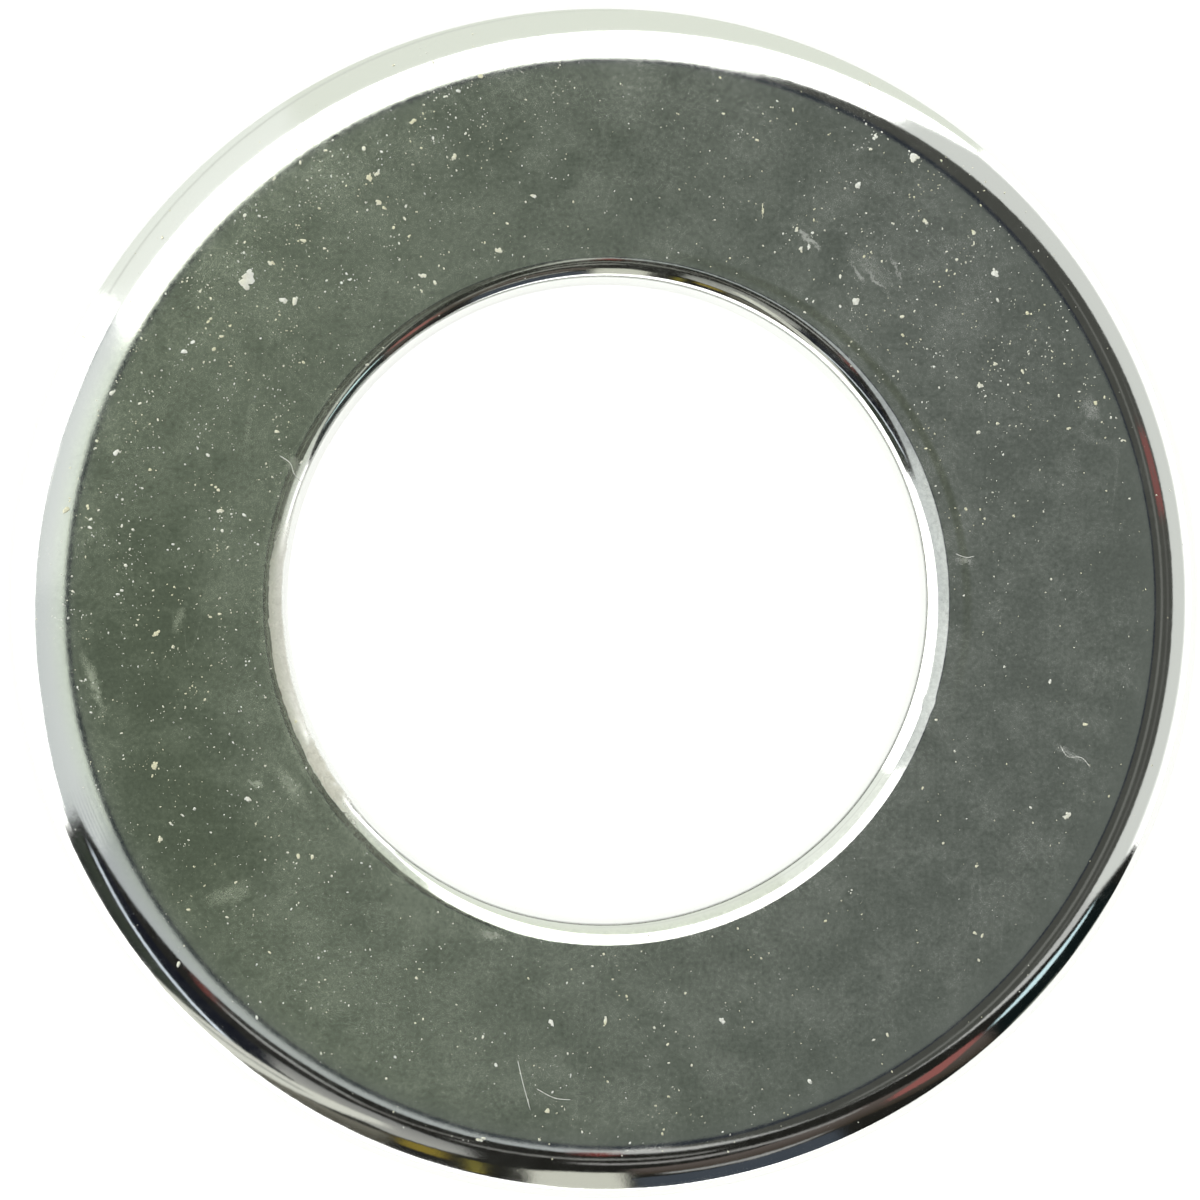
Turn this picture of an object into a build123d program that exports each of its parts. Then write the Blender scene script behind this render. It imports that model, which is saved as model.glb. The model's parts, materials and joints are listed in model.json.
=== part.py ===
from build123d import *

import math
import os

# Flat washer, ISO 7089 form for an M10 bolt: a stamped steel blank in a bright nickel-chromium skin.
# Millimetres, +Z up. The origin is on the bore's axis, on the face that rests, and the face with the
# broad rolled edge looks up. Every size below is measured over the plating.

OUTER_DIAMETER = 20.0
BORE_DIAMETER = 10.5
THICKNESS = 2.0
PLATING = 0.025

# The two upper edges are the punch's die roll, polished smooth. Each is a run of tangent arcs that
# tighten from the face to the upright wall, given as (radius, slope in degrees where the arc ends).
RIM_ROLL = ((4.10, 15), (1.70, 40), (0.50, 90))
BORE_ROLL = ((0.83, 30), (0.57, 90))

# The two lower edges have only the burr taken off.
LOWER_RIM_RADIUS = 0.30
LOWER_BORE_RADIUS = 0.20

OUTER_RADIUS = OUTER_DIAMETER / 2
BORE_RADIUS = BORE_DIAMETER / 2


def roll_arcs(roll, wall_x, outwards):
    """Each arc of a roll as (centre x, centre z, radius, slope at its start, slope at its end).

    The roll leaves the top face level and reaches the wall upright. outwards is 1 where the wall
    faces away from the axis and -1 where it faces the axis.
    """
    width = 0.0
    start = 0.0
    for radius, end in roll:
        width += radius * (math.sin(math.radians(end)) - math.sin(math.radians(start)))
        start = end
    arcs = []
    centre_x = wall_x - outwards * width
    centre_z = THICKNESS - roll[0][0]
    start = 0.0
    last_radius = roll[0][0]
    for radius, end in roll:
        centre_x += outwards * (last_radius - radius) * math.sin(math.radians(start))
        centre_z += (last_radius - radius) * math.cos(math.radians(start))
        arcs.append((centre_x, centre_z, radius, start, end))
        start = end
        last_radius = radius
    return arcs


def section_face(inset):
    """Half of the washer's cross-section, with its whole outline moved inwards by inset."""
    bottom = inset
    top = THICKNESS - inset
    rim = OUTER_RADIUS - inset
    bore = BORE_RADIUS + inset
    rim_arcs = roll_arcs(RIM_ROLL, OUTER_RADIUS, 1)
    bore_arcs = roll_arcs(BORE_ROLL, BORE_RADIUS, -1)
    lower_rim_x = OUTER_RADIUS - LOWER_RIM_RADIUS
    lower_bore_x = BORE_RADIUS + LOWER_BORE_RADIUS
    with BuildSketch(Plane.XZ) as section:
        with BuildLine():
            Line((lower_bore_x, bottom), (lower_rim_x, bottom))
            CenterArc((lower_rim_x, LOWER_RIM_RADIUS), LOWER_RIM_RADIUS - inset, 270, 90)
            Line((rim, LOWER_RIM_RADIUS), (rim, rim_arcs[-1][1]))
            for x, z, radius, start, end in rim_arcs:
                CenterArc((x, z), radius - inset, 90 - end, end - start)
            Line((rim_arcs[0][0], top), (bore_arcs[0][0], top))
            for x, z, radius, start, end in bore_arcs:
                CenterArc((x, z), radius - inset, 90 + start, end - start)
            Line((bore, bore_arcs[-1][1]), (bore, LOWER_BORE_RADIUS))
            CenterArc((lower_bore_x, LOWER_BORE_RADIUS), LOWER_BORE_RADIUS - inset, 180, 90)
        make_face()
    return section.sketch


def turned(inset):
    """The section swept once round the bore's axis."""
    return revolve(section_face(inset), Axis.Z, 360)


def steel_blank():
    """The stamped blank as it is before plating."""
    return turned(PLATING)


def chrome_plating():
    """The closed skin on every face of the blank."""
    return turned(0.0) - turned(PLATING)


os.makedirs("parts", exist_ok=True)
export_step(steel_blank(), "parts/steel_blank.step")
export_step(chrome_plating(), "parts/chrome_plating.step")
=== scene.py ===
"""A dusty chrome-plated flat washer in a pale light tent. Metres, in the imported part's own frame."""

import json
import math
import random

import bpy
from mathutils import Matrix, Vector, noise


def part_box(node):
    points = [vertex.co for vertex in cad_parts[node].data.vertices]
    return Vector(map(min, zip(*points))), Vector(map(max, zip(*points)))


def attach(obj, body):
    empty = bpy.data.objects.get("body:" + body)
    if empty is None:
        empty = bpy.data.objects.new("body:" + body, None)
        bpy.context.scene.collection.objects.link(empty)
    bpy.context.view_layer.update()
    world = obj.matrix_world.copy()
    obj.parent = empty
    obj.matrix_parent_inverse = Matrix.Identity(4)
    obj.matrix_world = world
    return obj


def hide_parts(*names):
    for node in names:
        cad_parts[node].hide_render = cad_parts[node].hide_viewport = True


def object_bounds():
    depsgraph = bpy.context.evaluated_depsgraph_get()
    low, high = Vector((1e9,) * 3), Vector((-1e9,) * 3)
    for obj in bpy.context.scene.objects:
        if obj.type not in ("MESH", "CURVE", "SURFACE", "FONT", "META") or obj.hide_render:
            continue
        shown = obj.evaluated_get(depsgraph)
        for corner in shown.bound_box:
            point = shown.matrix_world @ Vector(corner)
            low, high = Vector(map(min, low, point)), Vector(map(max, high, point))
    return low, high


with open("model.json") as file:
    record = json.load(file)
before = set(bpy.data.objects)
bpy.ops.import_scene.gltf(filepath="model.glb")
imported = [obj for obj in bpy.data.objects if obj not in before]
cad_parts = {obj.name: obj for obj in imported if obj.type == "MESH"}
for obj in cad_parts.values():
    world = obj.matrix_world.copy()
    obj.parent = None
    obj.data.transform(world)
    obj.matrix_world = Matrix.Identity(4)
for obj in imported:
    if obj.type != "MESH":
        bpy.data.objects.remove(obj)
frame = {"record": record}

MM = 0.001

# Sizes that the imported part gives.
CAD_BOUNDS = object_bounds()
RIM_RADIUS = CAD_BOUNDS[1].x
TOP = CAD_BOUNDS[1].z
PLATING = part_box("steel_blank")[0].z - CAD_BOUNDS[0].z
MOUNTS = {mount["name"]: mount for mount in frame["record"]["mounts"]}
BORE_RADIUS = MOUNTS["bore"]["dims"]["r_mm"] * MM

# The section's rounded corners, as the part has them: (radius in mm, slope in degrees where the arc ends).
RIM_ROLL = ((4.10, 15), (1.70, 40), (0.50, 90))
BORE_ROLL = ((0.83, 30), (0.57, 90))
LOWER_RIM_CORNER = 0.30 * MM
LOWER_BORE_CORNER = 0.20 * MM

# The camera stands almost over the washer, leaning a little towards -X. Leans are in degrees.
CAMERA_DISTANCE = 0.300
CAMERA_LEAN_X = 3.7
CAMERA_LEAN_Y = 1.0
FRAME_WIDTH = 20.03 * MM
FRAME_SHIFT = 0.025 * MM

# How finely the skins are turned: segments round the axis, and degrees along the section's arcs.
OUTER_SEGMENTS = 520
OUTER_STEP = 2.0
INNER_SEGMENTS = 300
INNER_STEP = 8.0


# ---------------------------------------------------------------- small helpers

def mesh_object(name, vertices, faces, material, smooth=False):
    """A mesh object linked to the scene."""
    mesh = bpy.data.meshes.new(name)
    mesh.from_pydata(vertices, [], faces)
    mesh.polygons.foreach_set("use_smooth", [smooth] * len(mesh.polygons))
    mesh.materials.append(material)
    mesh.update()
    made = bpy.data.objects.new(name, mesh)
    bpy.context.scene.collection.objects.link(made)
    return made


def blank_material(name):
    """An empty node material with its output node."""
    material = bpy.data.materials.new(name)
    material.use_nodes = True
    material.node_tree.nodes.clear()
    output = material.node_tree.nodes.new("ShaderNodeOutputMaterial")
    return material, material.node_tree, output


def add_node(tree, kind, operation=None, **inputs):
    """A node whose named inputs are set: a socket is linked, anything else is its value."""
    made = tree.nodes.new(kind)
    if operation:
        made.operation = operation
    for name, value in inputs.items():
        socket = made.inputs[int(name[1:])] if name[0] == "_" else made.inputs[name.replace("_", " ")]
        if isinstance(value, bpy.types.NodeSocket):
            tree.links.new(value, socket)
        else:
            socket.default_value = value
    return made


def maths(tree, operation, first, second=0.0, third=0.0):
    """The output of one Math node."""
    return add_node(tree, "ShaderNodeMath", operation, _0=first, _1=second, _2=third).outputs[0]


def ramp(tree, value, low, high):
    """0 below low, 1 above high, smooth between."""
    made = add_node(tree, "ShaderNodeMapRange", Value=value, From_Min=low, From_Max=high)
    made.interpolation_type = "SMOOTHSTEP"
    return made.outputs["Result"]


def mix_colour(tree, factor, first, second):
    """A colour between first and second."""
    made = tree.nodes.new("ShaderNodeMix")
    made.data_type = "RGBA"
    for socket, value in ((made.inputs[0], factor), (made.inputs[6], first), (made.inputs[7], second)):
        if isinstance(value, bpy.types.NodeSocket):
            tree.links.new(value, socket)
        else:
            socket.default_value = value
    return made.outputs[2]


def place_in_mm(tree):
    """The point on the piece, in millimetres of the part's frame."""
    place = tree.nodes.new("ShaderNodeTexCoord").outputs["Object"]
    return add_node(tree, "ShaderNodeVectorMath", "SCALE", _0=place, Scale=1 / MM).outputs[0]


def stretched(tree, place, angle, along, across):
    """The place turned by an angle in degrees about Z, then scaled along and across that direction."""
    turned = add_node(tree, "ShaderNodeMapping", Vector=place, Rotation=(0, 0, math.radians(-angle)))
    size = (along, across, 1.0)
    return add_node(tree, "ShaderNodeVectorMath", "MULTIPLY", _0=turned.outputs[0], _1=size).outputs[0]


def grain(tree, place, scale, detail=3.0, roughness=0.55):
    """The value of a noise texture, about 0.5 on average."""
    made = add_node(tree, "ShaderNodeTexNoise", Vector=place, Scale=scale, Detail=detail, Roughness=roughness)
    return made.outputs[0]


# ---------------------------------------------------------------- the washer's section

def roll_arcs(roll, wall_x, outwards):
    """Each arc of a roll as (centre x, centre z, radius, slope at its start, slope at its end), in metres."""
    width = 0.0
    start = 0.0
    for radius, end in roll:
        width += radius * MM * (math.sin(math.radians(end)) - math.sin(math.radians(start)))
        start = end
    arcs = []
    last_radius = roll[0][0] * MM
    centre_x = wall_x - outwards * width
    centre_z = TOP - last_radius
    start = 0.0
    for radius, end in roll:
        step = last_radius - radius * MM
        centre_x += outwards * step * math.sin(math.radians(start))
        centre_z += step * math.cos(math.radians(start))
        last_radius = radius * MM
        arcs.append((centre_x, centre_z, last_radius, start, end))
        start = end
    return arcs


def arc_points(centre_x, centre_z, radius, first, last, step):
    """Points along an arc from angle first to angle last, without the last one."""
    count = math.ceil(abs(last - first) / step)
    angles = [math.radians(first + (last - first) * i / count) for i in range(count)]
    return [(centre_x + radius * math.cos(a), centre_z + radius * math.sin(a)) for a in angles]


def line_points(start, end, count):
    """Points along a straight line, without its end."""
    return [
        (start[0] + (end[0] - start[0]) * i / count, start[1] + (end[1] - start[1]) * i / count)
        for i in range(count)
    ]


def section(inset, step):
    """The closed outline of the section, moved inwards by inset, from the top face's inner edge outwards."""
    rim_arcs = roll_arcs(RIM_ROLL, RIM_RADIUS, 1)
    bore_arcs = roll_arcs(BORE_ROLL, BORE_RADIUS, -1)
    rim = RIM_RADIUS - inset
    bore = BORE_RADIUS + inset
    top = TOP - inset
    lower_rim = RIM_RADIUS - LOWER_RIM_CORNER
    lower_bore = BORE_RADIUS + LOWER_BORE_CORNER
    points = line_points((bore_arcs[0][0], top), (rim_arcs[0][0], top), 12)
    for x, z, radius, start, end in rim_arcs:
        points += arc_points(x, z, radius - inset, 90 - start, 90 - end, step)
    points += line_points((rim, rim_arcs[-1][1]), (rim, LOWER_RIM_CORNER), 5)
    points += arc_points(lower_rim, LOWER_RIM_CORNER, LOWER_RIM_CORNER - inset, 0, -90, 3 * step)
    points += line_points((lower_rim, inset), (lower_bore, inset), 8)
    points += arc_points(lower_bore, LOWER_BORE_CORNER, LOWER_BORE_CORNER - inset, 270, 180, 3 * step)
    points += line_points((bore, LOWER_BORE_CORNER), (bore, bore_arcs[-1][1]), 6)
    for x, z, radius, start, end in reversed(bore_arcs):
        points += arc_points(x, z, radius - inset, 90 + end, 90 + start, step)
    return points


def nearness(point, azimuth, radius, half_angle, half_width):
    """1 at a place given by azimuth in degrees and radius in mm, falling to 0 at its half sizes."""
    turn = math.degrees(math.atan2(point.y, point.x)) - azimuth
    turn = (turn + 180) % 360 - 180
    away = math.hypot(turn / half_angle, (math.hypot(point.x, point.y) / MM - radius) / half_width)
    return max(0.0, 1.0 - away * away)


def worn(point):
    """The point after the marks that stamping, polishing and handling left on the steel and its plating."""
    place = point / MM
    polish = 0.0006 * noise.noise(place * 1.1) + 0.0002 * noise.noise(place * 3.1)
    crust = 0.006 * nearness(point, 213, 5.52, 12, 0.30) * noise.noise(place * 9.0)
    nicks = -0.012 * nearness(point, -17.5, 5.62, 0.9, 0.14) - 0.010 * nearness(point, 201, 5.46, 1.1, 0.12)
    inwards = (polish + crust + nicks) * MM
    outline_centre = 0.5 * (RIM_RADIUS + BORE_RADIUS)
    across = math.hypot(point.x, point.y)
    side = 1 if across > outline_centre else -1
    fraction = min(1.0, abs(across - outline_centre) / (RIM_RADIUS - outline_centre)) ** 6
    push = Vector((point.x, point.y, 0)) * (side * fraction / across)
    push.z = 1.0 - fraction if point.z > 0.5 * TOP else 0.0
    return point + push * inwards


def turned_skin(outline, segments, inside_out=False):
    """The outline turned once about Z: its points and its faces."""
    vertices = []
    for x, z in outline:
        for k in range(segments):
            angle = math.tau * k / segments
            vertices.append(worn(Vector((x * math.cos(angle), x * math.sin(angle), z))))
    faces = []
    for i in range(len(outline)):
        ring = i * segments
        following = (i + 1) % len(outline) * segments
        for k in range(segments):
            after = (k + 1) % segments
            face = (ring + k, following + k, following + after, ring + after)
            faces.append(face[::-1] if inside_out else face)
    return vertices, faces


# ---------------------------------------------------------------- materials

def blot(tree, place, centre, half_size, angle=0.0):
    """1 in the middle of an oval spot on the face, 0 outside it. Millimetres and degrees."""
    moved = add_node(tree, "ShaderNodeVectorMath", "SUBTRACT", _0=place, _1=(*centre, 0.0)).outputs[0]
    oval = stretched(tree, moved, angle, 1 / half_size[0], 1 / half_size[1])
    flat = add_node(tree, "ShaderNodeVectorMath", "MULTIPLY", _0=oval, _1=(1, 1, 0)).outputs[0]
    away = add_node(tree, "ShaderNodeVectorMath", "LENGTH", _0=flat).outputs["Value"]
    return maths(tree, "SUBTRACT", 1.0, ramp(tree, away, 0.15, 1.0))


def shaken(tree, place, scale, reach):
    """The place moved about by up to reach mm, which makes the outlines of spots ragged."""
    clouds = add_node(tree, "ShaderNodeTexNoise", Vector=place, Scale=scale, Detail=4.0, Roughness=0.7)
    field = clouds.outputs[1]
    shift = add_node(tree, "ShaderNodeVectorMath", "SUBTRACT", _0=field, _1=(0.5, 0.5, 0.5)).outputs[0]
    size = (2 * reach, 2 * reach, 0.0)
    return add_node(tree, "ShaderNodeVectorMath", "MULTIPLY_ADD", _0=shift, _1=size, _2=place).outputs[0]


def total(tree, *terms):
    """The sum of (mask, weight) pairs."""
    result = 0.0
    for mask, weight in terms:
        result = maths(tree, "MULTIPLY_ADD", mask, weight, result)
    return result


def hairlines(tree, place, angle, spacing, length, width):
    """Long thin broken scratches in one direction."""
    field = stretched(tree, place, angle, 1 / length, 1 / spacing)
    off_middle = maths(tree, "ABSOLUTE", maths(tree, "SUBTRACT", grain(tree, field, 1.0, 0.0), 0.5))
    line = maths(tree, "SUBTRACT", 1.0, ramp(tree, off_middle, 0.0, width))
    broken = ramp(tree, grain(tree, stretched(tree, place, angle, 0.5, 0.5), 1.0, 1.0), 0.50, 0.62)
    return maths(tree, "MULTIPLY", line, broken)


def fine_dust(tree, place, per_mm, share):
    """Specks too small to model, in some of the cells of a Voronoi pattern."""
    cells = add_node(tree, "ShaderNodeTexVoronoi", Vector=place, Scale=per_mm)
    speck = maths(tree, "SUBTRACT", 1.0, ramp(tree, cells.outputs["Distance"], 0.06, 0.26))
    luck = add_node(tree, "ShaderNodeSeparateColor", Color=cells.outputs["Color"]).outputs[0]
    return maths(tree, "MULTIPLY", speck, maths(tree, "LESS_THAN", luck, share))


def bore_deposit(tree, ragged, radius):
    """Beige plating salts dried along the bore's edge on the -X side, and the thin film round them."""
    edge = maths(tree, "MULTIPLY_ADD", grain(tree, ragged, 2.6, 3.0, 0.7), 0.10, radius)
    inner = ramp(tree, edge, 5.40, 5.45)
    outer = maths(tree, "SUBTRACT", 1.0, ramp(tree, edge, 5.64, 5.68))
    side = blot(tree, ragged, (-5.40, -0.7), (3.2, 1.3), 83)
    crust = blot(tree, ragged, (-4.70, -2.98), (1.25, 0.45), -58)
    both = maths(tree, "MAXIMUM", crust, maths(tree, "MULTIPLY", side, 0.75))
    edge_film = maths(tree, "SUBTRACT", 1.0, ramp(tree, edge, 5.78, 5.86))
    edge_film = maths(tree, "MULTIPLY", edge_film, blot(tree, ragged, (-4.8, -0.8), (7.0, 3.8), 85))
    return maths(tree, "MULTIPLY", maths(tree, "MULTIPLY", inner, outer), both), edge_film


def chrome_material():
    """Mirror-bright chromium under an uneven film of dust and grease, with hairline scratches."""
    material, tree, output = blank_material("chrome")
    place = place_in_mm(tree)
    flat = add_node(tree, "ShaderNodeVectorMath", "MULTIPLY", _0=place, _1=(1, 1, 0)).outputs[0]
    radius = add_node(tree, "ShaderNodeVectorMath", "LENGTH", _0=flat).outputs["Value"]
    axes = add_node(tree, "ShaderNodeSeparateXYZ", Vector=place)
    on_top = ramp(tree, axes.outputs[2], 1.80, 1.97)
    ragged = shaken(tree, place, 1.3, 0.75)
    frayed = shaken(tree, place, 7.0, 0.16)

    mottle = grain(tree, place, 1.1, 9.0, 0.76)
    stipple = grain(tree, place, 13.0, 3.0, 0.7)
    wisps = ramp(tree, grain(tree, stretched(tree, ragged, 72.0, 0.5, 1.9), 1.0, 6.0, 0.75), 0.50, 0.78)
    near_bore = maths(tree, "SUBTRACT", 1.0, ramp(tree, radius, 5.85, 6.9))
    near_rim = ramp(tree, radius, 7.9, 8.9)
    aside = add_node(tree, "ShaderNodeVectorMath", "SUBTRACT", _0=flat, _1=(0.10, -0.10, 0.0)).outputs[0]
    ring_radius = add_node(tree, "ShaderNodeVectorMath", "LENGTH", _0=aside).outputs["Value"]
    off_ring = maths(tree, "ABSOLUTE", maths(tree, "SUBTRACT", ring_radius, 5.94))
    olive_ring = maths(tree, "SUBTRACT", 1.0, ramp(tree, off_ring, 0.02, 0.11))
    olive_ring = maths(tree, "MULTIPLY", olive_ring, blot(tree, ragged, (4.2, 2.8), (6.0, 3.6), 125))
    left_side = ramp(tree, axes.outputs[0], 7.0, -8.0)
    # Two darker patches on the face towards -X: less film there, and the metal colour moved towards a darker
    # olive.
    dark_patch = maths(
        tree, "MAXIMUM",
        blot(tree, ragged, (-7.5, -0.6), (3.2, 1.5), 95), blot(tree, ragged, (-6.9, -3.6), (3.0, 1.4), 112),
    )
    hazes = (
        (blot(tree, ragged, (-5.7, 5.9), (4.4, 2.6), 45), 0.26),
        (blot(tree, ragged, (-4.6, 7.1), (1.7, 0.8), 32), 0.35),
        (blot(tree, ragged, (-6.3, 5.2), (0.9, 0.7), 50), 0.30),
        (blot(tree, ragged, (0.4, 8.6), (4.2, 0.9), 0), 0.30),
        (blot(tree, ragged, (5.4, 5.6), (3.4, 1.6), -45), 0.22),
        (blot(tree, ragged, (-4.4, -6.3), (4.2, 2.2), -35), 0.26),
        (blot(tree, ragged, (-8.0, 2.6), (1.6, 1.3), 70), 0.28),
        (blot(tree, ragged, (-1.2, -7.9), (2.6, 0.9), -8), 0.14),
    )
    smudges = (
        (blot(tree, frayed, (4.45, 5.55), (0.75, 0.20), -38), 1.0),
        (blot(tree, frayed, (4.20, 5.45), (0.34, 0.06), -60), 2.7),
        (blot(tree, frayed, (4.52, 5.32), (0.40, 0.06), -45), 2.7),
        (blot(tree, frayed, (4.85, 5.52), (0.34, 0.05), -70), 2.7),
        (blot(tree, frayed, (3.38, 6.02), (0.40, 0.07), -40), 3.7),
        (blot(tree, frayed, (6.00, 0.66), (0.24, 0.10), -20), 2.7),
        (blot(tree, frayed, (-8.52, -1.35), (0.75, 0.12), -72), 2.7),
        (blot(tree, frayed, (-5.15, 2.25), (0.42, 0.14), -50), 2.0),
        (blot(tree, frayed, (-5.25, -3.05), (0.55, 0.20), -55), 2.0),
        (blot(tree, frayed, (-7.10, -0.30), (0.35, 0.12), 70), 2.4),
        (blot(tree, frayed, (-6.25, -4.85), (0.55, 0.22), 20), 1.9),
        (blot(tree, frayed, (7.75, -2.55), (0.40, 0.08), -32), 2.0),
        (blot(tree, frayed, (8.10, 3.20), (0.30, 0.18), -65), 1.9),
        (blot(tree, frayed, (-5.85, -3.02), (0.20, 0.09), -10), 3.1),
        (blot(tree, frayed, (-1.90, -5.55), (0.35, 0.12), -20), 2.5),
    )
    haze = total(tree, *hazes)
    film = total(
        tree, (mottle, 3.0), (stipple, 1.5), (wisps, 0.50), (near_bore, 0.18), (left_side, 0.36),
        (dark_patch, -0.66), (near_rim, -0.10), (haze, 1.3), *smudges,
    )
    film = maths(tree, "MAXIMUM", maths(tree, "SUBTRACT", film, 2.08), 0.0)
    specks = maths(tree, "ADD", fine_dust(tree, place, 11.0, 0.32), fine_dust(tree, place, 19.0, 0.30))
    specks = maths(tree, "MULTIPLY", specks, maths(tree, "MULTIPLY_ADD", haze, 3.2, 0.45))
    scratches = total(
        tree, (hairlines(tree, place, 84.0, 0.55, 7.0, 0.010), 1.0),
        (hairlines(tree, place, 38.0, 0.80, 6.0, 0.007), 0.8),
        (hairlines(tree, place, -3.0, 0.70, 6.0, 0.007), 0.7),
    )
    veil = total(tree, (film, 0.110), (specks, 0.20), (scratches, 0.06), (olive_ring, -0.02))
    veil = maths(tree, "MULTIPLY", veil, maths(tree, "MULTIPLY_ADD", on_top, 0.85, 0.15))
    deposit, edge_film = bore_deposit(tree, ragged, radius)
    cover = maths(tree, "MAXIMUM", total(tree, (veil, 1.0), (edge_film, 0.10)), deposit)

    right = (0.625, 0.635, 0.612, 1)
    left = (0.600, 0.660, 0.520, 1)
    # The darker olive metal colour that the dark patches take.
    darker_olive = (0.500, 0.555, 0.420, 1)
    metal = mix_colour(tree, left_side, right, left)
    metal = mix_colour(tree, maths(tree, "MULTIPLY", dark_patch, 0.8), metal, darker_olive)
    metal = mix_colour(tree, maths(tree, "MULTIPLY", olive_ring, 0.55), metal, (0.400, 0.420, 0.300, 1))
    gain = maths(tree, "ADD", total(tree, (stipple, 0.60), (mottle, 0.50)), 0.45)
    metal = add_node(tree, "ShaderNodeVectorMath", "SCALE", _0=metal, Scale=gain).outputs[0]
    metal = mix_colour(tree, on_top, (0.655, 0.665, 0.650, 1), metal)
    salt = mix_colour(tree, grain(tree, ragged, 9.0, 4.0), (0.34, 0.33, 0.27, 1), (0.80, 0.79, 0.70, 1))
    colour = mix_colour(tree, deposit, metal, salt)
    metallic = maths(tree, "SUBTRACT", 1.0, cover)
    film_roughness = maths(tree, "MULTIPLY_ADD", film, 0.04, 0.055)
    rough = maths(tree, "ADD", film_roughness, maths(tree, "MULTIPLY", deposit, 0.6))

    bump = add_node(tree, "ShaderNodeBump", Strength=1.0, Distance=0.0011 * MM, Height=mottle)
    shader = add_node(
        tree, "ShaderNodeBsdfPrincipled",
        Base_Color=colour, Metallic=metallic, Roughness=rough, Normal=bump.outputs[0],
    )
    tree.links.new(shader.outputs[0], output.inputs["Surface"])
    return material


def steel_material():
    """Rolled low-carbon steel with fine lines along the strip."""
    material, tree, output = blank_material("bare_steel")
    place = place_in_mm(tree)
    lines = grain(tree, stretched(tree, place, 20.0, 0.4, 12.0), 1.0)
    colour = mix_colour(tree, lines, (0.36, 0.36, 0.37, 1), (0.52, 0.52, 0.53, 1))
    shader = add_node(tree, "ShaderNodeBsdfPrincipled", Base_Color=colour, Metallic=1.0, Roughness=0.4)
    tree.links.new(shader.outputs[0], output.inputs["Surface"])
    return material


def dust_material():
    """Pale mineral dust, some of it yellowish."""
    material, tree, output = blank_material("dust")
    place = place_in_mm(tree)
    tone = ramp(tree, grain(tree, place, 1.7, 2.0), 0.35, 0.65)
    colour = mix_colour(tree, tone, (0.80, 0.81, 0.76, 1), (0.72, 0.70, 0.50, 1))
    speckle = maths(tree, "MULTIPLY", ramp(tree, grain(tree, place, 30.0, 3.0), 0.4, 0.7), 0.25)
    colour = mix_colour(tree, speckle, colour, (0.40, 0.39, 0.33, 1))
    shader = add_node(tree, "ShaderNodeBsdfPrincipled", Base_Color=colour, Roughness=0.9)
    tree.links.new(shader.outputs[0], output.inputs["Surface"])
    return material


def lint_material():
    """Bleached textile fibre."""
    material, tree, output = blank_material("lint")
    place = place_in_mm(tree)
    colour = mix_colour(tree, grain(tree, place, 9.0, 2.0), (0.62, 0.63, 0.60, 1), (0.88, 0.88, 0.84, 1))
    shader = add_node(tree, "ShaderNodeBsdfPrincipled", Base_Color=colour, Roughness=0.7)
    tree.links.new(shader.outputs[0], output.inputs["Surface"])
    return material


# ---------------------------------------------------------------- the light tent

def shown_as(red, green, blue):
    """The light, linear, that shows in the chrome as this 8-bit colour."""
    chrome_reflectance = 0.66
    linear = []
    for value in (red, green, blue):
        share = value / 255
        linear.append(share / 12.92 if share <= 0.04045 else ((share + 0.055) / 1.055) ** 2.4)
    return [value / chrome_reflectance for value in linear]


WHITE = (3.2, 3.2, 3.13)


def tent_direction(azimuth, zenith):
    """The unit vector at an azimuth from +X and an angle down from straight up, in degrees."""
    a = math.radians(azimuth)
    z = math.radians(zenith)
    return Vector((math.cos(a) * math.sin(z), math.sin(a) * math.sin(z), math.cos(z)))


def glow_material():
    """Shines with the mesh's own colour."""
    material, tree, output = blank_material("tent_glow")
    tone = tree.nodes.new("ShaderNodeAttribute")
    tone.attribute_name = "tone"
    shader = add_node(tree, "ShaderNodeEmission", Color=tone.outputs["Color"], Strength=1.0)
    tree.links.new(shader.outputs[0], output.inputs["Surface"])
    return material


GLOW = glow_material()


def glowing(name, vertices, faces, tones):
    """A stage mesh that shines with one colour per vertex."""
    made = mesh_object(name, vertices, faces, GLOW)
    attribute = made.data.attributes.new("tone", "FLOAT_COLOR", "POINT")
    attribute.data.foreach_set("color", [c for tone in tones for c in (*tone, 1.0)])


def sky_patch(name, distance, columns, top_tone, bottom_tone=None):
    """A patch of the tent's wall, whose light runs from top_tone to bottom_tone.

    Each column is (azimuth, zenith at its top, zenith at its bottom), in degrees. A patch at a smaller
    distance covers the ones further out.
    """
    bottom_tone = bottom_tone or top_tone
    step = 4.0
    rows = max(1, math.ceil(max(bottom - top for _, top, bottom in columns) / step))
    fine = []
    for (a0, t0, b0), (a1, t1, b1) in zip(columns, columns[1:]):
        count = max(1, math.ceil((a1 - a0) / step))
        for i in range(count):
            s = i / count
            fine.append((a0 + (a1 - a0) * s, t0 + (t1 - t0) * s, b0 + (b1 - b0) * s))
    fine.append(columns[-1])
    vertices = []
    tones = []
    for azimuth, top, bottom in fine:
        for row in range(rows + 1):
            s = row / rows
            vertices.append(tent_direction(azimuth, top + (bottom - top) * s) * distance)
            tones.append([first + (last - first) * s for first, last in zip(top_tone, bottom_tone)])
    across = rows + 1
    faces = [
        (c * across + r, c * across + r + 1, (c + 1) * across + r + 1, (c + 1) * across + r)
        for c in range(len(fine) - 1) for r in range(rows)
    ]
    glowing(name, vertices, faces, tones)


def ceiling_oval(name, height, centre, half_size, tone):
    """A flat oval overhead. Its centre and half size are given as tangents of zenith angles."""
    segments = 96
    vertices = [Vector((centre[0] * height, centre[1] * height, height))]
    for k in range(segments):
        angle = math.tau * k / segments
        x = centre[0] + half_size[0] * math.cos(angle)
        y = centre[1] + half_size[1] * math.sin(angle)
        vertices.append(Vector((x * height, y * height, height)))
    faces = [(0, 1 + k, 1 + (k + 1) % segments) for k in range(segments)]
    glowing(name, vertices, faces, [tone] * len(vertices))


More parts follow.
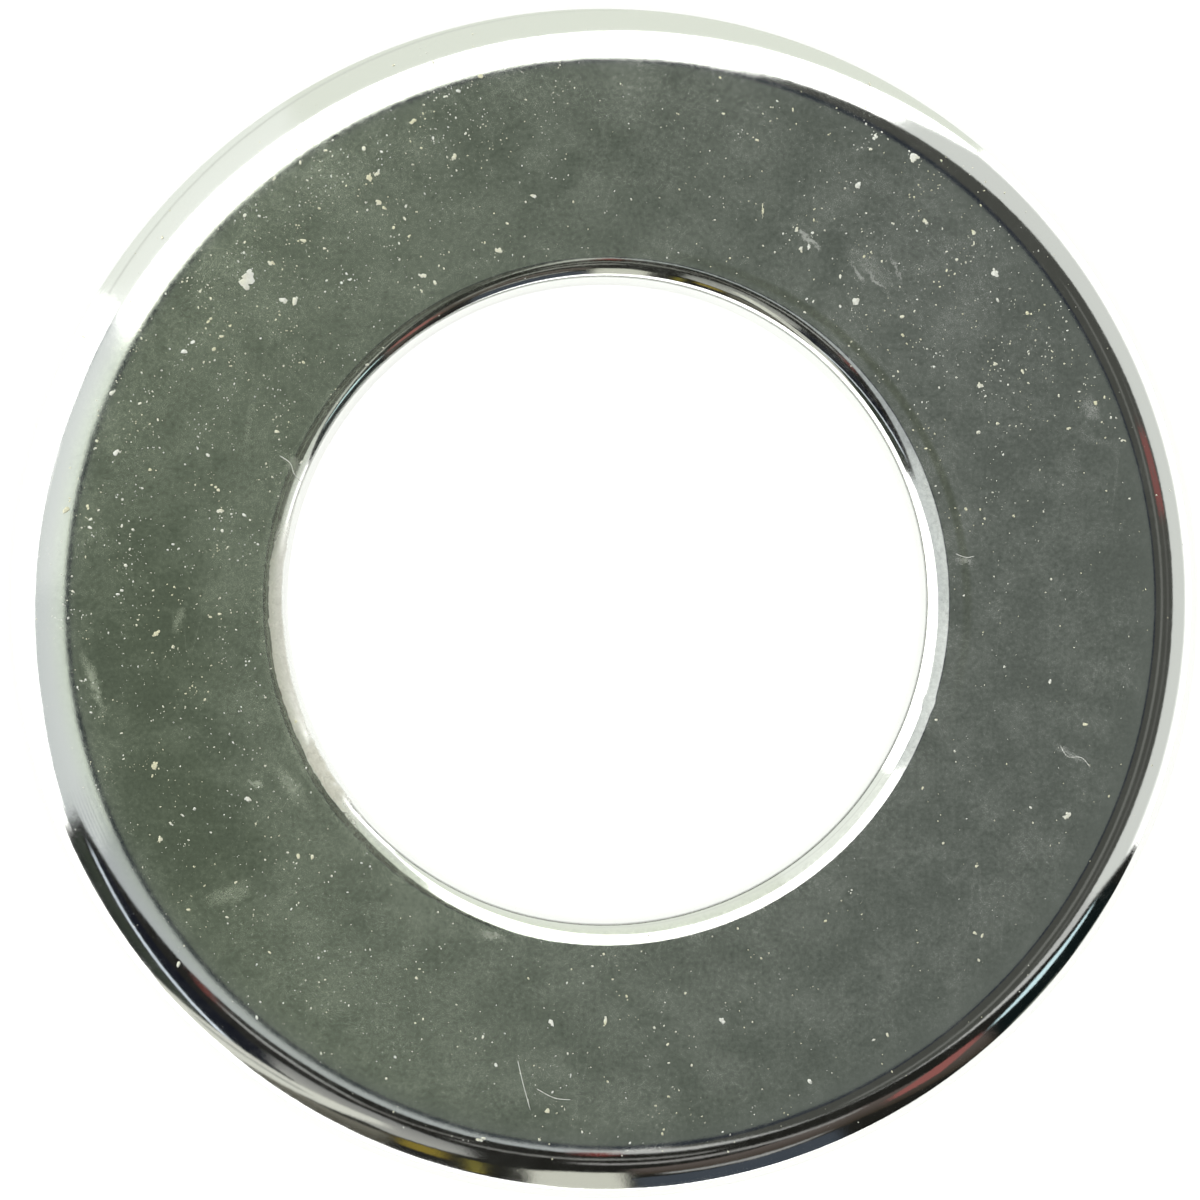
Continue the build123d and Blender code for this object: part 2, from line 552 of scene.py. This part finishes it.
def light_tent():
    """White walls all round, the dark camera overhead, and the front opening with the room behind it."""
    sky_patch("tent_wall", 0.95, ((-180, 0, 92), (180, 0, 92)), WHITE)
    left_side()
    right_side()
    back_side()
    overhead_camera()
    front_opening()


def left_side():
    """Light-grey wall with the seams of the tent's hem."""
    grey = shown_as(208, 212, 210)
    edge = ((-180, 20, 51), (-168, 20, 54), (-157, 20, 62), (-150, 20, 62))
    sky_patch("left_wall", 0.945, edge, grey, shown_as(196, 200, 200))
    back = ((148, 20, 47), (165, 20, 46), (180, 20, 50))
    sky_patch("left_wall_back", 0.945, back, shown_as(226, 229, 228), grey)
    seam = shown_as(168, 172, 174)
    sky_patch("left_seam", 0.94, ((-180, 49.5, 51), (-168, 52.5, 54), (-157, 60, 61.5)), seam)
    sky_patch("left_seam_back", 0.94, ((148, 45.5, 48), (158, 45, 46.5), (180, 49.5, 51)), seam)
    fold = shown_as(214, 217, 214)
    sky_patch("left_fold", 0.94, ((150, 52, 53), (180, 56, 57)), fold)
    sky_patch("left_fold_front", 0.94, ((-180, 56, 57), (-158, 70, 71)), fold)
    sky_patch("left_fold_low", 0.94, ((125, 83, 85), (150, 78, 81), (180, 77, 78)), fold)
    low = ((-157, 20, 66), (-140, 20, 46), (-115, 20, 40), (-80, 20, 44))
    sky_patch("left_wall_low", 0.945, low, seam)


def right_side():
    """A grey wall that whitens lower down, up to the back panel."""
    grey = shown_as(205, 207, 203)
    edge = ((-32, 50, 76), (0, 50, 76), (30, 42, 74), (47, 38, 72), (54, 34, 56))
    sky_patch("right_wall", 0.945, edge, grey)
    low = ((-32, 76, 86), (0, 76, 83), (30, 74, 80), (47, 72, 78))
    sky_patch("right_wall_low", 0.945, low, grey, WHITE)
    sky_patch("right_far", 0.945, ((-85, 32, 56), (-60, 40, 66), (-30, 46, 78)), shown_as(182, 182, 180))


def back_side():
    """A pale-green panel leaning on the tent's back."""
    green = shown_as(222, 226, 215)
    edge = (
        (46, 78, 91), (52, 74, 91), (60, 67, 91), (75, 58, 91), (90, 52, 91), (105, 48, 91), (120, 46, 91),
    )
    sky_patch("green_panel", 0.935, edge, green)
    pale = shown_as(236, 239, 232)
    sky_patch("pale_panel", 0.935, ((120, 46, 91), (148, 46, 91)), pale, shown_as(230, 234, 226))
    fold = ((84, 82, 84), (105, 78, 80), (125, 73, 75), (148, 67, 69))
    sky_patch("panel_fold", 0.93, fold, shown_as(205, 208, 200))


def overhead_camera():
    """The camera above the tent's roof opening: a wide body with the lens in front of it."""
    ceiling_oval("camera_body", 0.470, (0.84, -0.10), (0.92, 0.88), shown_as(70, 71, 67))
    ceiling_oval("lens_hood", 0.467, (0.18, -0.06), (0.625, 0.595), shown_as(38, 42, 52))
    ceiling_oval("camera_lens", 0.464, (0.18, -0.06), (0.576, 0.550), shown_as(94, 99, 94))
    ring = ((-60, 43, 45), (-45, 46, 48.5), (-30, 46, 49), (0, 45, 47.5), (30, 44, 45.5))
    sky_patch("lens_ring", 0.62, ring, shown_as(106, 107, 103))
    edge = ((-38, 52, 54), (-10, 53, 55.5), (20, 52, 53.5))
    sky_patch("body_edge", 0.70, edge, shown_as(88, 88, 85))
    sky_patch("red_lamp", 0.70, ((7, 50, 58), (15, 49, 56)), shown_as(124, 78, 75))


def front_opening():
    """The room seen through the opening: dark, with a window's edge, shelves, a door and a lamp."""
    opening = (
        (-155, 50, 72), (-150, 44, 72.5), (-140, 38, 73), (-128, 34, 75), (-115, 32, 77), (-95, 34, 80),
        (-85, 36, 82), (-62, 46, 88), (-50, 53, 91), (-40, 60, 91), (-30, 66, 91), (-24, 82, 91),
    )
    sky_patch("dark_room", 0.91, opening, shown_as(30, 30, 27))
    sky_patch("window_edge", 0.86, ((-151, 51.5, 53.5), (-127, 61.5, 64)), shown_as(235, 245, 255))
    sky_patch("night_blue", 0.87, ((-150, 46, 52), (-120, 48, 64)), shown_as(16, 19, 28))
    cloth = ((-153.5, 56, 72.5), (-128, 65, 75))
    sky_patch("green_cloth", 0.87, cloth, shown_as(54, 60, 50), shown_as(32, 36, 35))
    board = ((-137, 73, 76), (-126, 62, 75), (-112, 52, 60), (-108, 50, 54))
    sky_patch("leaning_board", 0.85, board, shown_as(206, 206, 196))
    sky_patch("board_edge", 0.845, ((-131, 70, 72), (-117, 59, 61)), shown_as(150, 152, 146))
    shelves = ((-121, 46, 55), (-108, 44, 60), (-99, 48, 58))
    sky_patch("grey_shelves", 0.86, shelves, shown_as(128, 128, 126), shown_as(160, 160, 155))
    sky_patch("stool", 0.86, ((-124, 70, 76), (-108, 62, 77)), shown_as(110, 108, 98), shown_as(60, 58, 50))
    sky_patch("yellow_box", 0.85, ((-106.5, 61, 69), (-102, 60, 69)), shown_as(126, 110, 44))
    sky_patch("yellow_strap", 0.85, ((-99.5, 62, 77), (-98, 62, 77)), shown_as(120, 112, 52))
    sky_patch("cream_door", 0.85, ((-93.5, 62, 80), (-90, 59, 82), (-84, 60, 83)), shown_as(196, 196, 184))
    sky_patch("blue_grey_cabinet", 0.86, ((-83, 68, 83), (-63, 70, 88)), shown_as(62, 68, 76))
    sky_patch("cabinet_glint", 0.855, ((-80, 64, 66), (-70, 66, 69), (-64, 67, 68)), shown_as(150, 150, 148))
    rail = ((-83, 56, 64), (-60, 57, 70), (-46, 68, 90))
    sky_patch("brown_rail", 0.86, rail, shown_as(92, 84, 80), shown_as(52, 46, 38))
    sky_patch("rail_light", 0.855, ((-88, 47, 49), (-72, 51, 53.5), (-60, 58, 60)), shown_as(142, 140, 138))
    rail = ((-100, 42, 43.5), (-84, 42, 44), (-74, 46, 47.5))
    sky_patch("rail_light_high", 0.855, rail, shown_as(128, 127, 124))
    sky_patch("pink_folder", 0.85, ((-57, 64, 68), (-52, 63, 73), (-47, 65, 69)), shown_as(140, 86, 82))
    sky_patch("lamp_glint", 0.85, ((-45, 67, 69), (-39, 65.5, 71), (-31, 69, 71)), shown_as(205, 232, 238))
    sky_patch("night_green", 0.87, ((-46, 71, 85), (-28, 72, 88)), shown_as(14, 22, 22))
    sky_patch("striped_curtain", 0.86, ((-44, 85, 91), (-38, 85, 91)), shown_as(120, 126, 118))
    sky_patch("striped_curtain_far", 0.86, ((-35, 86, 91), (-30, 87, 91)), shown_as(130, 136, 130))
    sky_patch("room_lines", 0.86, ((-128, 38, 40), (-118, 37, 39.5), (-110, 39, 40)), shown_as(152, 152, 150))
    sky_patch("room_lines_low", 0.86, ((-112, 40, 41.5), (-98, 38, 39.5)), shown_as(110, 108, 105))
    sky_patch("red_marks", 0.86, ((-131.5, 35, 41), (-129.5, 35, 41)), shown_as(118, 54, 50))
    sky_patch("red_sign", 0.86, ((-86, 34, 39), (-83, 35, 39)), shown_as(120, 55, 52))


def floor_material():
    """Pale paper with an even glow of its own, plus a painted pool of light that takes it past white close to
    the washer and fills in the washer's shadow; plain pale further out.
    """
    material, tree, output = blank_material("pale_floor")
    place = tree.nodes.new("ShaderNodeTexCoord").outputs["Object"]
    length = add_node(tree, "ShaderNodeVectorMath", "LENGTH", _0=place)
    # Painted pool of light: the floor glows brighter within about 2 cm of the washer, fading out by 10 cm,
    # which fills in the shade that the washer casts.
    near = maths(tree, "SUBTRACT", 1.0, ramp(tree, length.outputs["Value"], 0.02, 0.10))
    glow_with_painted_pool = maths(tree, "MULTIPLY_ADD", near, 0.56, 0.42)
    paper = add_node(tree, "ShaderNodeBsdfDiffuse", Color=(0.62, 0.62, 0.61, 1))
    light = add_node(tree, "ShaderNodeEmission", Color=(1, 1, 0.98, 1), Strength=glow_with_painted_pool)
    both = add_node(tree, "ShaderNodeAddShader", _0=paper.outputs[0], _1=light.outputs[0])
    tree.links.new(both.outputs[0], output.inputs["Surface"])
    return material


def floor():
    """A round sheet of paper just under the washer's resting face."""
    gap = 0.01 * MM
    radius = 0.955
    segments = 96
    vertices = [Vector((0, 0, -gap))]
    vertices += [
        Vector((radius * math.cos(math.tau * k / segments), radius * math.sin(math.tau * k / segments), -gap))
        for k in range(segments)
    ]
    faces = [(0, 1 + k, 1 + (k + 1) % segments) for k in range(segments)]
    mesh_object("floor", vertices, faces, floor_material())


def surroundings():
    """Pale light from outside the tent."""
    world = bpy.data.worlds.new("pale_room")
    world.use_nodes = True
    world.node_tree.nodes["Background"].inputs["Color"].default_value = (1, 1, 1, 1)
    world.node_tree.nodes["Background"].inputs["Strength"].default_value = 1.0
    bpy.context.scene.world = world
    bpy.context.scene.view_settings.view_transform = "Standard"


def camera():
    """A long lens almost straight above the washer, with +Y up in the picture."""
    lean_x = math.radians(CAMERA_LEAN_X)
    lean_y = math.radians(CAMERA_LEAN_Y)
    level = math.cos(lean_y)
    back = Vector((-math.sin(lean_x) * level, math.sin(lean_y), math.cos(lean_x) * level))
    right = Vector((0, 1, 0)).cross(back).normalized()
    up = back.cross(right)
    data = bpy.data.cameras.new("camera")
    data.sensor_width = 36.0
    data.lens = data.sensor_width * CAMERA_DISTANCE / FRAME_WIDTH
    made = bpy.data.objects.new("camera", data)
    turn = Matrix((right, up, back)).transposed()
    middle = Vector((0, 0, TOP / 2)) - right * FRAME_SHIFT
    made.matrix_world = Matrix.Translation(middle + back * CAMERA_DISTANCE) @ turn.to_4x4()
    bpy.context.scene.collection.objects.link(made)
    bpy.context.scene.camera = made


# ---------------------------------------------------------------- the pieces

def plating():
    """The chromium skin: the outer surface and, inside it, the surface that grips the steel."""
    outer_points, outer_faces = turned_skin(section(0.0, OUTER_STEP), OUTER_SEGMENTS)
    inner_points, inner_faces = turned_skin(section(PLATING, INNER_STEP), INNER_SEGMENTS, inside_out=True)
    shift = len(outer_points)
    faces = outer_faces + [tuple(shift + i for i in face) for face in inner_faces]
    made = mesh_object("plating", outer_points + inner_points, faces, chrome_material(), smooth=True)
    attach(made, "root")
    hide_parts("chrome_plating")


def blank():
    """The stamped steel inside the plating."""
    points, faces = turned_skin(section(PLATING, INNER_STEP), INNER_SEGMENTS)
    made = mesh_object("blank", points, faces, steel_material(), smooth=True)
    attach(made, "root")
    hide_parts("steel_blank")


# Where dust has settled: (x, y, reach) in mm and grains per square mm at the middle.
DUSTY_PLACES = (
    (-7.8, 0.6, 2.4, 36), (-6.0, 5.6, 2.5, 40), (-2.2, 8.6, 0.9, 70), (5.6, 6.0, 2.3, 40),
    (7.6, 4.0, 1.6, 22), (-6.6, -3.6, 2.0, 26), (0.5, -8.2, 2.0, 14), (-4.6, 7.4, 1.2, 30),
)
DUST_EVERYWHERE = 8.0
DENSEST_DUST = 110

# Dust lies from DUST_INNER to DUST_OUTER, and thinly outside the flat face. Distances out, in mm.
DUST_INNER = 5.45
FACE_INNER = 5.8
FACE_OUTER = 9.1
DUST_OUTER = 9.75

# The flakes that stand out: direction in degrees and distance out in mm, length and width in mm,
# and the direction of the length in degrees.
FLAKES = (
    (138, 8.0, 0.40, 0.22, 80),
    (55, 9.0, 0.17, 0.12, 20),
    (50, 6.5, 0.16, 0.10, 60),
    (40, 8.5, 0.18, 0.12, 130),
    (-25, 8.5, 0.15, 0.12, 30),
    (-176, 7.5, 0.17, 0.12, 20),
    (-90, 7.0, 0.20, 0.08, 75),
    (-103, 9.2, 0.16, 0.10, 10),
    (68, 7.0, 0.32, 0.05, 90),
    (163, 8.5, 0.14, 0.10, 20),
)
SMALL_FLAKES = 22

# Lint lying on the face: points (x, y) in mm along each fibre.
FIBRES = (
    ((7.60, -2.42), (7.72, -2.60), (7.95, -2.62), (8.10, -2.78)),
    ((-1.46, -7.65), (-1.38, -8.00), (-1.25, -8.47)),
    ((-1.14, -8.12), (-0.85, -8.27), (-0.58, -8.30)),
    ((-5.42, 2.42), (-5.25, 2.30), (-5.18, 2.12), (-5.05, 1.98)),
    ((5.85, 0.78), (6.02, 0.72), (6.16, 0.74)),
)
FIBRE_RADIUS = 0.005 * MM


def upper_surface():
    """The section's upper side as points (x, z) from the bore's wall to the rim's."""
    points = [point for point in section(0.0, OUTER_STEP) if point[1] > 0.58 * TOP]
    return sorted(points)


UPPER = upper_surface()


def on_surface(x, y):
    """The point on the washer's upper side over (x, y), and the way that the surface faces there."""
    across = math.hypot(x, y)
    for (x0, z0), (x1, z1) in zip(UPPER, UPPER[1:]):
        if x0 <= across < x1:
            slope = (z1 - z0) / (x1 - x0)
            out = Vector((x, y, 0)) / across
            normal = (Vector((0, 0, 1)) - out * slope).normalized()
            return Vector((x, y, z0 + slope * (across - x0))), normal
    return None, None


GOLDEN = (1 + math.sqrt(5)) / 2
BALL_POINTS = tuple(
    Vector(point).normalized()
    for a in (-1, 1) for b in (-GOLDEN, GOLDEN)
    for point in ((0, a, b), (a, b, 0), (b, 0, a))
)


def ball_faces():
    """The 20 triangles between neighbouring points of the ball, facing out."""
    near = 1.1
    faces = []
    for i, a in enumerate(BALL_POINTS):
        for j in range(i + 1, 12):
            for k in range(j + 1, 12):
                b = BALL_POINTS[j]
                c = BALL_POINTS[k]
                if max((a - b).length, (b - c).length, (a - c).length) < near:
                    faces.append((i, j, k) if (b - a).cross(c - a).dot(a) > 0 else (i, k, j))
    return faces


BALL_FACES = ball_faces()


def lump(draw, vertices, faces, place, length, width, thickness, angle):
    """Adds one irregular grain lying on the surface at place. Sizes in mm, angle in degrees."""
    point, normal = on_surface(place[0] * MM, place[1] * MM)
    if point is None:
        return
    along = Vector((math.cos(math.radians(angle)), math.sin(math.radians(angle)), 0))
    along = (along - normal * along.dot(normal)).normalized()
    across = normal.cross(along)
    first = len(vertices)
    for ball in BALL_POINTS:
        jag = draw.uniform(0.62, 1.25)
        offset = along * (ball.x * length) + across * (ball.y * width) + normal * (ball.z * thickness)
        vertices.append(point + (offset * jag + normal * thickness * 0.5) * (0.5 * MM))
    faces.extend(tuple(first + i for i in face) for face in BALL_FACES)


def dustiness(x, y):
    """Grains per square mm at a place on the washer."""
    amount = DUST_EVERYWHERE
    for place_x, place_y, reach, most in DUSTY_PLACES:
        amount += most * math.exp(-((x - place_x) ** 2 + (y - place_y) ** 2) / (2 * reach * reach))
    clump = 0.85 + noise.noise(Vector((x * 1.6, y * 1.6, 4.0))) * 1.8
    return amount * max(0.15, clump)


def dust():
    """Loose grains over the whole upper side, thicker where they have settled."""
    draw = random.Random(11)
    vertices = []
    faces = []
    tries = round(4 * DUST_OUTER * DUST_OUTER * DENSEST_DUST)
    for _ in range(tries):
        x = draw.uniform(-DUST_OUTER, DUST_OUTER)
        y = draw.uniform(-DUST_OUTER, DUST_OUTER)
        chance = draw.random()
        size = min(0.085, 0.0128 * math.exp(draw.gauss(0.0, 0.62)))
        angle = draw.uniform(0, 180)
        stretch = draw.uniform(1.0, 1.9)
        across = math.hypot(x, y)
        thinned = 1.0 if FACE_INNER < across < FACE_OUTER else 0.3
        if DUST_INNER < across < DUST_OUTER and chance < dustiness(x, y) * thinned / DENSEST_DUST:
            lump(draw, vertices, faces, (x, y), size * stretch, size, size * 0.45, angle)
    made = mesh_object("dust_grains", vertices, faces, dust_material())
    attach(made, "root")


def flake(draw, vertices, faces, place, length, width, angle):
    """Adds one flake: a cluster of lumps along its length. Sizes in mm, angle in degrees."""
    x, y = place
    turn = math.radians(angle)
    count = 5 + round(length / width)
    for k in range(count):
        s = (k + 0.5) / count - 0.5
        sideways = draw.uniform(-0.22, 0.22) * width
        place_x = x + math.cos(turn) * s * length * 0.8 - math.sin(turn) * sideways
        place_y = y + math.sin(turn) * s * length * 0.8 + math.cos(turn) * sideways
        size = width * draw.uniform(0.45, 0.95) * (1.0 - abs(s))
        thickness = min(0.03, size * 0.3)
        lump(draw, vertices, faces, (place_x, place_y), size * 1.3, size, thickness, draw.uniform(0, 180))


def flakes():
    """The flakes that stand out, and smaller ones scattered where most dust has settled."""
    draw = random.Random(5)
    vertices = []
    faces = []
    for direction, out, length, width, angle in FLAKES:
        turn = math.radians(direction)
        flake(draw, vertices, faces, (out * math.cos(turn), out * math.sin(turn)), length, width, angle)
    left = SMALL_FLAKES
    while left:
        turn = draw.uniform(0, math.tau)
        out = draw.uniform(FACE_INNER, FACE_OUTER)
        x = out * math.cos(turn)
        y = out * math.sin(turn)
        if draw.uniform(0, 60) < dustiness(x, y):
            length = draw.uniform(0.10, 0.16)
            width = length * draw.uniform(0.5, 0.8)
            flake(draw, vertices, faces, (x, y), length, width, draw.uniform(0, 180))
            left -= 1
    made = mesh_object("dust_flakes", vertices, faces, dust_material())
    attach(made, "root")


def smooth_path(points, steps):
    """Points along a Catmull-Rom curve through points."""
    ends = [points[0], *points, points[-1]]
    path = []
    for a, b, c, d in zip(ends, ends[1:], ends[2:], ends[3:]):
        for k in range(steps):
            t = k / steps
            path.append(tuple(
                0.5 * (
                    2 * q + (r - p) * t + (2 * p - 5 * q + 4 * r - w) * t ** 2
                    + (3 * q - p - 3 * r + w) * t ** 3
                )
                for p, q, r, w in zip(a, b, c, d)
            ))
    path.append(points[-1])
    return path


def lint():
    """Single textile fibres lying on the face, as closed thin tubes."""
    sides = 6
    vertices = []
    faces = []
    for fibre in FIBRES:
        path = [on_surface(x * MM, y * MM) for x, y in smooth_path(fibre, 6)]
        centres = [point + normal * FIBRE_RADIUS for point, normal in path]
        start = len(vertices)
        for i, centre in enumerate(centres):
            ahead = (centres[min(i + 1, len(centres) - 1)] - centres[max(i - 1, 0)]).normalized()
            side = ahead.cross(path[i][1]).normalized()
            up = side.cross(ahead)
            taper = 0.35 if i in (0, len(centres) - 1) else 1.0
            for k in range(sides):
                turn = math.tau * k / sides
                spoke = side * math.cos(turn) + up * math.sin(turn)
                vertices.append(centre + spoke * FIBRE_RADIUS * taper)
        for i in range(len(centres) - 1):
            for k in range(sides):
                after = (k + 1) % sides
                ring = start + i * sides
                faces.append((ring + k, ring + after, ring + sides + after, ring + sides + k))
        faces.append(tuple(start + k for k in reversed(range(sides))))
        faces.append(tuple(len(vertices) - sides + k for k in range(sides)))
    made = mesh_object("lint", vertices, faces, lint_material(), smooth=True)
    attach(made, "root")


surroundings()
camera()
light_tent()
floor()
plating()
blank()
dust()
flakes()
lint()
